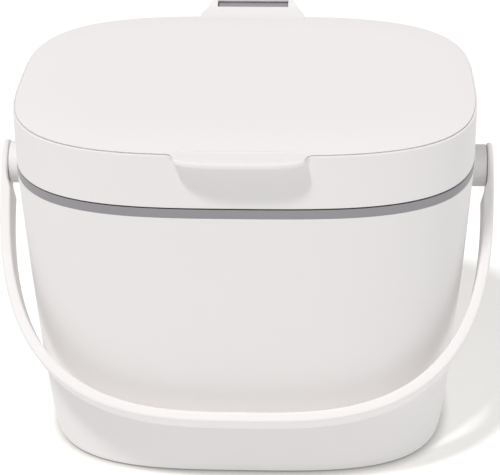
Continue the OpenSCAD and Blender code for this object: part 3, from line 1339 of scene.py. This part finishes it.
    def edge_rings(self) -> list[TabRing]:
        """Rings up the edge, with the fine line round it and the tab's underside and nose.

        Each row holds inset and depth under the edge, then share of the tab's reach, distance in
        from the tab's outline and depth under its top.

        Returns:
            The rings, from the lowest up.
        """
        t = self.tab_thickness
        rows = [
            (0.0, 3.0, 0.0, 0.0, t + 0.8), (0.0, 2.2, 0.0, -0.24, t + 0.24),
            (0.0, 1.7, 0.0, -0.8, t), (0.02, 1.38, 0.4, 0.0, t), (0.1, 1.14, 0.75, 0.0, t),
            (0.26, 0.96, 1.0, 1.0, t), (0.48, 0.86, 1.0, 0.55, t - 0.06),
            (0.74, 0.82, 1.0, 0.3, t - 0.2), (1.72, 1.58, 1.0, 0.14, t - 0.4),
            (2.05, 1.2, 1.0, 0.04, t - 0.65), (1.26, 0.36, 1.0, 0.0, t - 0.95),
            (1.5, 0.24, 1.0, 0.02, 1.2), (1.8, 0.13, 1.0, 0.12, 0.82),
            (2.15, 0.06, 1.0, 0.32, 0.5), (2.5, 0.02, 1.0, 0.62, 0.24),
        ]
        return [TabRing(inset, self.plan.edge - low, *on_tab) for inset, low, *on_tab in rows]

    def lip_rings(self) -> list[TabRing]:
        """Rings over the tab's crest, in front of the finger dish.

        Returns:
            The rings, from the front back.
        """
        rows = ((2.8, 1.0, 0.08), (3.1, 1.4, 0.0), (3.4, 2.4, 0.0), (3.8, 3.1, 0.0))
        return [TabRing(inset, self.plan.edge + self.crown_rise(inset), 1.0, back, drop)
                for inset, back, drop in rows]

    def shell(self) -> bpy.types.Object:
        """Loft the lid as one skin: inside, skirt, fine line, tab and crowned top.

        Returns:
            The cover in metres.
        """
        low, skirt, edge = self.skirt_low, self.skirt, self.plan.edge
        ceiling = edge - self.skin
        section = [(inset, ceiling + self.crown_rise(inset))
                   for inset in (38.8, 30.0, 22.0, 15.0, 9.0, 5.0)]
        section += corner(skirt + 1.0, ceiling - 1.0, 1.0, 90, 0, 4) + [(skirt, edge - 14.0)]
        section += corner(skirt - 0.5, low + 0.5, 0.5, 180, 270, 3)
        section += corner(0.3, low + 0.3, 0.3, -90, 0, 4)
        section += [(0.0, z) for z in (low + 4.0, low + 12.0, edge - 10.0, edge - 5.0)]
        places = [self.place_plain(inset, height) for inset, height in section]
        places += [self.place_edge(ring) for ring in self.edge_rings()]
        lips = self.lip_rings()
        places += [self.dished(self.place_edge(ring)) for ring in lips]
        places += [self.dished(self.place_top(share, lips[-1], self.top_inset))
                   for share in (*(0.05 * i for i in range(1, 17)), 0.84, 0.88, 0.92, 0.96, 1.0)]
        places += [self.place_plain(inset, edge + self.crown_rise(inset))
                   for inset in (10.0, 12.5, 16.0, 20.0, 25.0, 31.0, 38.8)]
        return make_piece("lid_cover", filled_skin(len(self.stations), places))

    def build(self) -> None:
        """Make and dress the lid's cover, panel and seal."""
        self.add(self.shell(), WHITE_PLASTIC, Body.LID, "lid_shell")
        panel = self.plan.filled(self.panel_section)
        soften(panel, self.panel_edge)
        self.add(make_piece("lid_panel", panel), WHITE_PLASTIC, Body.LID, "lid_liner")
        seal = make_piece("lid_seal", self.plan.band(self.seal_section))
        self.add(seal, SEAL_RUBBER, Body.LID, "lid_gasket")


@dataclass
class HingeHood(SubAssembly):
    """The white hood at the back of the lid, with its cheeks, opening and ramp.

    Attributes:
        inner_radius: Radius inside, around the barrel.
        outer_radius: Radius of the hood.
        slot_half: Half of the width between the cheeks.
        tip_half: Half of the width at the hood's tip.
        root_half: Half of the width where the hood leaves the lid.
        window: Angles of the opening's front and back edge.
        bar_end: Angle of the bar's lower edge.
        cheek_height: How far the cheeks reach down the skirt.
        pin_bore: Radius of the hole for the pin.
        edge_rounding: Rounding of the hood's edges.
        slot_rounding: Rounding of the slot's edges.
        clear: How far the tools that shape the hood reach past it.
    """

    inner_radius: float = 6.8
    outer_radius: float = 9.2
    slot_half: float = 21.65
    tip_half: float = 24.85
    root_half: float = 31.65
    window: tuple[float, float] = (139.0, 90.0)
    bar_end: float = 30.0
    cheek_height: float = 22.0
    pin_bore: float = 2.05
    edge_rounding: float = 0.5
    slot_rounding: float = 0.35
    clear: float = 2.0

    def at(self, radius: float, angle: float) -> tuple[float, float]:
        """Point of the side view at a radius and an angle about the hinge."""
        a = math.radians(angle)
        return self.plan.hinge.y + radius * math.cos(a), self.plan.hinge.z + radius * math.sin(a)

    def side_view(self) -> list[tuple[float, float]]:
        """Outline of the hood from the side, with a ramp that eases out of the lid's top.

        Returns:
            Points of the outline, as (y, z).
        """
        back, r = self.plan.half_depth, self.outer_radius
        crest = self.at(r, self.window[0])
        edge, hinge, steps = self.plan.edge, self.plan.hinge, 8
        start, bend = (back - 8.5, edge + 1.33), (back - 4.2, edge + 0.46)
        ramp = [tuple((1 - t) ** 2 * a + 2 * t * (1 - t) * b + t * t * c
                      for a, b, c in zip(start, bend, crest))
                for t in (i / steps for i in range(steps + 1))]
        round_end = arc((hinge.y, hinge.z), r, self.window[0] - 7.0, -60.0, 34)
        return [*ramp, *round_end, (back - 1.25, edge - self.cheek_height),
                (back - 1.25, edge - 1.6), (back - 8.5, edge - 1.6)]

    def plan_view(self) -> list[tuple[float, float]]:
        """Outline of the hood from above, with cheeks that flare into the lid.

        Returns:
            Points of the outline, as (x, y).
        """
        back, hinge = self.plan.half_depth, self.plan.hinge.y
        end, shoulder = hinge + self.outer_radius, hinge - 4.5
        tip, root = self.tip_half, self.root_half
        right = [(tip - 2.4, end + 1.0), (tip - 0.8, end - 0.8), (tip, end - 2.4),
                 (tip, shoulder + 2.6), (tip + 0.35, shoulder + 0.9), (tip + 1.6, shoulder - 0.4),
                 (root - 1.0, back + 0.4), (root, back - 2.2), (root, back - 20.0)]
        return right + [(-x, y) for x, y in reversed(right)]

    def slot(self) -> bmesh.types.BMesh:
        """What is open between the cheeks: room for barrel and web, and the opening above.

        Returns:
            The shape in millimetres.
        """
        y, z, far, (front, back) = self.plan.hinge.y, self.plan.hinge.z, 18.4, self.window
        pad, low = self.plan.half_depth + 0.2, self.plan.edge - self.cheek_height - far
        outline = [(pad, low), (pad, self.plan.edge - 2.4), self.at(self.inner_radius, front),
                   self.at(far, front), self.at(far, back)]
        outline += arc((y, z), self.inner_radius, back, self.bar_end, 12)
        outline += [self.at(far, self.bar_end), (y + far, low)]
        shape = side_slab(outline, self.slot_half)
        soften(shape, self.slot_rounding, 2)
        return shape

    def build(self) -> None:
        """Make and dress the hood."""
        length, reach = self.root_half + self.clear, 40.0
        hood = make_piece("hinge_hood", side_slab(self.side_view(), length))
        above = slab(self.plan_view(), lambda x, y: Vector((x, y, self.plan.edge - reach)),
                     Vector((0.0, 0.0, 2.0 * reach)))
        work(hood, make_piece("plan_tool", above), Cut.KEEP_COMMON)
        work(hood, make_piece("slot_tool", self.slot()), Cut.REMOVE)
        soften_piece(hood, self.edge_rounding)
        bore = rod(length, self.pin_bore, self.plan.hinge, PIN_FACES)
        work(hood, make_piece("bore_tool", bore), Cut.REMOVE)
        self.add(hood, WHITE_PLASTIC, Body.LID, "lid_shell")


@dataclass
class CarryHandle(SubAssembly):
    """The white strap handle with a round eye at each end, and the studs that it turns on.

    Attributes:
        half_span: Half of the width across the handle's outside.
        reach: Distance from the pivots to the outside of the middle.
        power: Squareness of the handle's curve.
        thickness: Thickness of the strap.
        strap_half: Half of the strap's width.
        eye_radius: Radius of an eye.
        eye_thickness: Thickness of an eye.
        neck: Distances from the pivots between which an eye narrows to the strap.
        relief: Radii between which an eye thickens to the strap.
        edge_radius: Rounding of the strap's edges.
        rest_angle: Angle forward of hanging straight down, in degrees.
        bore_radius: Radius of the hole in an eye.
        recess_radius: Radius of the recess for the stud's head.
        head_radius: Radius of a stud's head.
        head_thickness: Thickness of that head.
        shank_radius: Radius of a stud.
        shank_end: Distance of a stud's inner end from the middle plane.
    """

    half_span: float = 140.1
    reach: float = 152.4
    power: float = 3.0
    thickness: float = 5.8
    strap_half: float = 11.0
    eye_radius: float = 13.0
    eye_thickness: float = 3.3
    neck: tuple[float, float] = (5.0, 37.0)
    relief: tuple[float, float] = (15.0, 24.0)
    edge_radius: float = 1.4
    rest_angle: float = 43.5001
    bore_radius: float = 4.55
    recess_radius: float = 8.3
    head_radius: float = 8.0
    head_thickness: float = 1.2
    shank_radius: float = 4.5
    shank_end: float = 127.0

    def __post_init__(self) -> None:
        """Measure the curve: distance along the outside for rays from the pivots' middle."""
        steps = 1800
        rays = [math.pi * i / steps for i in range(steps + 1)]
        points = [self.on_curve(ray, 0.0) for ray in rays]
        self.rays, self.distances = rays, [0.0]
        for a, b in zip(points, points[1:]):
            self.distances.append(self.distances[-1] + (b - a).length)

    def on_curve(self, ray: float, inset: float) -> Vector:
        """Point of the curve, set in from the outside, as (x, distance from the pivots).

        Args:
            ray: Angle of the ray from the pivots' middle, in radians.
            inset: Distance in from the outside.

        Returns:
            The point.
        """
        a, b = self.half_span - inset, self.reach - inset
        c, s = math.cos(ray), math.sin(ray)
        k = ((abs(c) / a) ** self.power + (abs(s) / b) ** self.power) ** (-1.0 / self.power)
        return Vector((c * k, s * k))

    def ray_at(self, distance: float) -> float:
        """Ray at a distance along the outside of the curve.

        Args:
            distance: Distance along the outside from the right pivot.

        Returns:
            The angle of the ray, in radians.
        """
        low, high = 0, len(self.distances) - 1
        while high - low > 1:
            middle = (low + high) // 2
            low, high = (middle, high) if self.distances[middle] <= distance else (low, middle)
        span = self.distances[high] - self.distances[low]
        share = (distance - self.distances[low]) / span if span else 0.0
        return self.rays[low] + (self.rays[high] - self.rays[low]) * share

    def half_width(self, along: float) -> float:
        """Half of the strap's width at a distance from its nearer pivot; negative is above it.

        Args:
            along: The distance.

        Returns:
            Half of the width.
        """
        if along <= 0.0:
            return math.sqrt(max(self.eye_radius ** 2 - along ** 2, 0.0))
        slim = smooth_step(along, *self.neck)
        run = min(max((along - self.neck[0]) / (self.neck[1] - self.neck[0]), 0.0), 1.0)
        return self.eye_radius + (self.strap_half - self.eye_radius) * (0.5 * slim + 0.5 * run)

    def depth(self, along: float, across: float, inner: bool) -> float:
        """Distance in from the handle's outside of a point on its outer or inner face.

        Args:
            along: Distance from the nearer pivot.
            across: Distance from the strap's middle line.
            inner: Whether the point is on the inner face.

        Returns:
            The distance.
        """
        r = self.edge_radius
        if along < 0.0:
            margin = self.eye_radius - math.hypot(along, across)
        else:
            margin = self.half_width(along) - abs(across)
        margin = min(max(margin, 0.0), r)
        rounding = r - math.sqrt(max(r * r - (r - margin) ** 2, 0.0))
        if not inner:
            return rounding
        far = smooth_step(math.hypot(along, across), *self.relief)
        return self.eye_thickness + (self.thickness - self.eye_thickness) * far - rounding

    def section_points(self) -> list[tuple[float, bool]]:
        """Stations around the strap's section.

        Returns:
            Share of the half width at each station, and whether it is on the inner face.
        """
        r = self.edge_radius / self.eye_radius
        side = [1.0 - r * (1.0 - math.cos(math.radians(a))) for a in (0, 18, 36, 54, 72, 90)]
        middle = [0.66, 0.36, 0.0]
        across = side + middle + [-m for m in reversed(middle[:-1])] + [-m for m in reversed(side)]
        return [(q, False) for q in across] + [(q, True) for q in reversed(across)]

    def point(self, along: float, across: float, inner: bool, total: float) -> Vector:
        """A point of the strap's skin with the handle at rest.

        Args:
            along: Distance from the right pivot along the outside.
            across: Distance from the strap's middle line.
            inner: Whether the point is on the inner face.
            total: Distance between the pivots along the outside.

        Returns:
            The point.
        """
        near = min(along, total - along)
        share = self.depth(near, across, inner) / self.thickness
        if near < 0.0:
            end = 1.0 if along < 0.0 else -1.0
            outer, inside = (
                Vector((end * (self.half_span - depth), near)) for depth in (0.0, self.thickness)
            )
        else:
            ray = self.ray_at(along)
            outer, inside = self.on_curve(ray, 0.0), self.on_curve(ray, self.thickness)
        flat = outer.lerp(inside, share)
        forward = Matrix.Rotation(math.radians(-self.rest_angle), 3, "X")
        pivots = Vector((0.0, 0.0, self.plan.pivot_height))
        return forward @ Vector((flat.x, across, -flat.y)) + pivots

    def strap(self) -> bpy.types.Object:
        """Grow the strap section by section from eye to eye.

        Returns:
            The strap in metres, with its eyes still uncut.
        """
        total, neck_end, spaces = self.distances[-1], 39.0, 50
        top = [-self.eye_radius * math.cos(math.radians(a))
               for a in (0, 4, 8, 13, 18, 24, 30, 37, 45, 54, 63, 72, 81)]
        neck = [1.5 * i for i in range(27)]
        middle = [neck_end + (total / 2.0 - neck_end) * i / spaces for i in range(1, spaces)]
        half = top + neck + middle
        stations = half + [total / 2.0] + [total - along for along in reversed(half)]
        around = self.section_points()
        loft = RingLoft(len(around))
        for along in stations:
            width = self.half_width(min(along, total - along))
            skin = [self.point(along, share * width, inner, total) for share, inner in around]
            loft.ring(skin.__getitem__)
        return make_piece("carry_strap", loft.shape)

    def eye_tool(self, side: Side) -> bpy.types.Object:
        """Turn the tool that cuts an eye's hole and the recess for the stud's head.

        Args:
            side: Side of the caddy.

        Returns:
            The tool piece.
        """
        face, bore, recess = self.half_span, self.bore_radius, self.recess_radius
        seat, inner, outer, mouth = face - self.head_thickness, face - 9.0, face + 3.0, recess + 0.5
        profile = [(inner, 0.0), (inner, bore), (seat, bore), (seat, recess), (face - 0.35, recess),
                   (face + 0.15, mouth), (outer, mouth), (outer, 0.0)]
        return make_piece("eye_tool", self.plan.at_pivot(profile, side))

    def stud(self, side: Side) -> bpy.types.Object:
        """Turn one stud, with a slightly domed head and the small pit of its moulding gate.

        Args:
            side: Side of the caddy.

        Returns:
            The stud in metres.
        """
        under, top = self.half_span - self.head_thickness + 0.15, self.half_span - 0.12
        head, shank, end = self.head_radius, self.shank_radius, self.shank_end
        dome, dome_radius = 0.28, head - 0.4
        profile = [(end, 0.0), (end, shank - 0.8), (end + 0.8, shank), (under, shank),
                   (under, head - 0.15), (under + 0.15, head), (top - 0.7, head),
                   (top - 0.45, head - 0.1), (top - dome, dome_radius)]
        profile += [(top - dome * (r / dome_radius) ** 2, r) for r in (6.4, 5.0, 3.6, 2.4)]
        profile += [(top, 1.5), (top - 0.1, 1.25), (top - 0.35, 1.1), (top - 0.35, 0.0)]
        return make_piece(f"pivot_stud_{side.name.lower()}", self.plan.at_pivot(profile, side))

    def build(self) -> None:
        """Make and dress the handle and its studs."""
        strap = self.strap()
        for side in Side:
            work(strap, self.eye_tool(side), Cut.REMOVE)
        self.add(strap, WHITE_PLASTIC, Body.HANDLE, "carry_handle")
        for side in Side:
            self.add(self.stud(side), WHITE_PLASTIC, Body.CADDY, f"handle_pin_{side.name.lower()}")


# ---- studio ----


@dataclass(frozen=True)
class Lamp:
    """A soft lamp far away.

    Attributes:
        name: Name of the lamp.
        strength: Its strength.
        softness: Its apparent size, in degrees.
        way: Direction in which its light travels.
        colour: Colour of its light.
    """

    name: str
    strength: float
    softness: float
    way: tuple[float, float, float]
    colour: Colour


@dataclass(frozen=True)
class Studio:
    """Pale floor, key light from the upper left, broad fill, white surroundings and camera.

    Attributes:
        floor_size: Side of the floor, in metres.
        floor_tone: Linear colour of the floor for light that it throws back.
        floor_seen: Linear colour with which its own light and shade shows in view.
        floor_lift: Plain white that is added to it in view.
        floor_glow: Light that the floor gives to the walls above it, as a lit table does.
        contact_reach: How far the painted contact shade reaches from the caddy's foot, in metres.
        contact_depth: How strongly that painted shade darkens the floor there.
        contact_samples: Samples of that painted shade.
        lamps: The key light and the broad fill from the right.
        fill: Strength of the even light from all round.
        fill_tint: Colour of that light.
        turn: The camera's angle to the right of the front, in degrees.
        tilt: Its angle above the horizon, in degrees.
        roll: Its roll, in degrees.
        distance: Its distance from the target, in metres.
        target_height: Height of the target, in metres.
        focal: Focal length, in columns of the picture.
        centre_x: Column of the picture where the target falls.
    """

    floor_size: float = 8.0
    floor_tone: Colour = (0.6, 0.6, 0.6)
    floor_seen: Colour = (0.94, 0.93, 0.89)
    floor_lift: float = 0.26
    floor_glow: float = 0.34
    contact_reach: float = 0.007
    contact_depth: float = 0.65
    contact_samples: int = 16
    lamps: tuple[Lamp, ...] = (
        Lamp("key", 1.5, 6.0, (0.247, 0.353, -0.903), (1.0, 0.985, 0.972)),
        Lamp("right_fill", 0.3, 80.0, (-0.951, 0.25, -0.309), (0.985, 0.99, 1.04)),
    )
    fill: float = 0.49
    fill_tint: Colour = (1.0, 0.985, 0.985)
    turn: float = 2.43
    tilt: float = 28.0
    roll: float = -0.6
    distance: float = 1.0638
    target_height: float = 0.10606
    focal: float = 1808.1
    centre_x: float = 248.08

    def floor(self) -> None:
        """Lay a plain floor that keeps the caddy's shadow and shows pale in view."""
        shape = bmesh.new()
        bmesh.ops.create_grid(shape, x_segments=8, y_segments=8, size=self.floor_size / 2.0)
        mesh = bpy.data.meshes.new("studio_floor")
        shape.to_mesh(mesh)
        shape.free()
        floor = bpy.data.objects.new("studio_floor", mesh)
        bpy.context.scene.collection.objects.link(floor)
        made = bpy.data.materials.new("studio_floor_paper")
        made.use_nodes = True
        tree = made.node_tree
        tree.nodes.clear()
        out = add_node(tree, "OutputMaterial")
        choose, shaded = add_node(tree, "MixShader"), add_node(tree, "MixShader")
        # Painted contact shade: ambient occlusion darkens the floor's colour in view close to the
        # caddy's foot.
        tree.links.new(self.painted_contact_shade(tree), shaded.inputs[0])
        tree.links.new(self.lit_paper(tree, self.floor_seen, self.floor_lift), shaded.inputs[2])
        tree.links.new(self.seen_rays(tree), choose.inputs[0])
        tree.links.new(self.lit_paper(tree, self.floor_tone, self.floor_glow), choose.inputs[1])
        tree.links.new(shaded.outputs[0], choose.inputs[2])
        tree.links.new(choose.outputs[0], out.inputs["Surface"])
        mesh.materials.append(made)

    def lit_paper(
        self, tree: bpy.types.NodeTree, tone: Colour, glow: float
    ) -> bpy.types.NodeSocket:
        """Matt paper of a tone that also gives some white light of its own.

        Args:
            tree: The floor material's node tree.
            tone: Linear colour of the paper.
            glow: Strength of its own light.

        Returns:
            The paper's shader.
        """
        kinds = ("BsdfDiffuse", "Emission", "AddShader")
        paper, light, both = (add_node(tree, kind) for kind in kinds)
        paper.inputs["Color"].default_value = (*tone, 1.0)
        light.inputs["Strength"].default_value = glow
        tree.links.new(paper.outputs[0], both.inputs[0])
        tree.links.new(light.outputs[0], both.inputs[1])
        return both.outputs[0]

    def painted_contact_shade(self, tree: bpy.types.NodeTree) -> bpy.types.NodeSocket:
        """Painted shade: a mask that falls from 1 towards 0 where the caddy stands close over the
        floor.

        Args:
            tree: The floor material's node tree.

        Returns:
            The mask.
        """
        # Ambient occlusion paints contact shade into the floor's colour in view.
        near = add_node(tree, "AmbientOcclusion", samples=self.contact_samples)
        near.inputs["Distance"].default_value = self.contact_reach
        deep = add_node(tree, "Math", operation="POWER")
        tree.links.new(near.outputs["AO"], deep.inputs[0])
        deep.inputs[1].default_value = self.contact_depth
        return deep.outputs[0]

    def seen_rays(self, tree: bpy.types.NodeTree) -> bpy.types.NodeSocket:
        """A mask that is 1 for what is seen directly, in a gloss or through a clear material.

        Args:
            tree: Node tree that gets the mask.

        Returns:
            The mask.
        """
        rays, mask = add_node(tree, "LightPath"), None
        for name in ("Is Glossy Ray", "Is Transmission Ray"):
            either = add_node(tree, "Math", operation="MAXIMUM")
            tree.links.new(mask or rays.outputs["Is Camera Ray"], either.inputs[0])
            tree.links.new(rays.outputs[name], either.inputs[1])
            mask = either.outputs[0]
        return mask

    def surroundings(self) -> None:
        """Even light from all round, white where it is seen."""
        world = bpy.data.worlds.new("studio_white")
        bpy.context.scene.world = world
        world.use_nodes = True
        tree = world.node_tree
        tree.nodes.clear()
        out, choose = add_node(tree, "OutputWorld"), add_node(tree, "MixShader")
        tree.links.new(self.seen_rays(tree), choose.inputs[0])
        lights = ((self.fill_tint, self.fill), (WHITE_LIGHT, 1.0))
        for number, (tint, strength) in enumerate(lights, start=1):
            background = add_node(tree, "Background")
            background.inputs["Color"].default_value = (*tint, 1.0)
            background.inputs["Strength"].default_value = strength
            tree.links.new(background.outputs[0], choose.inputs[number])
        tree.links.new(choose.outputs[0], out.inputs["Surface"])

    def hang(self, lamp: Lamp) -> None:
        """Hang one lamp.

        Args:
            lamp: The lamp.
        """
        light = bpy.data.lights.new(lamp.name, "SUN")
        light.energy = lamp.strength
        light.angle = math.radians(lamp.softness)
        light.color = lamp.colour
        holder = bpy.data.objects.new(lamp.name, light)
        holder.rotation_mode = "QUATERNION"
        holder.rotation_quaternion = Vector(lamp.way).to_track_quat("-Z", "Y")
        bpy.context.scene.collection.objects.link(holder)

    def camera(self) -> None:
        """Stand the camera in front and above, turned a little to the right."""
        turn, tilt, roll = (math.radians(a) for a in (self.turn, self.tilt, self.roll))
        level = math.cos(tilt)
        back = Vector((math.sin(turn) * level, -math.cos(turn) * level, math.sin(tilt)))
        right = (-back).cross(Vector((0.0, 0.0, 1.0))).normalized()
        up = right.cross(-back)
        across = math.cos(roll) * right + math.sin(roll) * up
        upright = math.cos(roll) * up - math.sin(roll) * right
        place = Vector((0.0, 0.0, self.target_height)) + self.distance * back
        lens = bpy.data.cameras.new("camera")
        lens.sensor_width = SENSOR_WIDTH
        lens.lens = self.focal * SENSOR_WIDTH / PICTURE_WIDTH
        lens.shift_x = (PICTURE_WIDTH / 2.0 - self.centre_x) / PICTURE_WIDTH
        lens.clip_start, lens.clip_end = 0.01, 50.0
        holder = bpy.data.objects.new("camera", lens)
        bpy.context.scene.collection.objects.link(holder)
        holder.matrix_world = Matrix((across, upright, back)).transposed().to_4x4()
        holder.location = place
        bpy.context.scene.camera = holder

    def build(self) -> None:
        """Set up the whole studio."""
        bpy.context.scene.view_settings.view_transform = "Standard"
        self.floor()
        self.surroundings()
        for lamp in self.lamps:
            self.hang(lamp)
        self.camera()


def report(assemblies: Iterable[SubAssembly]) -> None:
    """Log every piece with its faces and the body that it rides on.

    Args:
        assemblies: The sub-assemblies, already built.
    """
    for assembly in assemblies:
        for piece in assembly.pieces:
            log.info("%s: %s with %d faces rides on %s", type(assembly).__name__, piece.name,
                     len(piece.data.polygons), piece["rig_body"])


def main() -> None:
    """Build every sub-assembly, then the studio."""
    logging.basicConfig(level=logging.INFO, format="%(name)s: %(message)s")
    plan, paints = Plan(), Paintbox()
    assemblies = [kind(plan, paints) for kind in (Tub, RimFrame, Lid, HingeHood, CarryHandle)]
    for assembly in assemblies:
        assembly.build()
    report(assemblies)
    Studio().build()


if __name__ == "__main__":
    main()
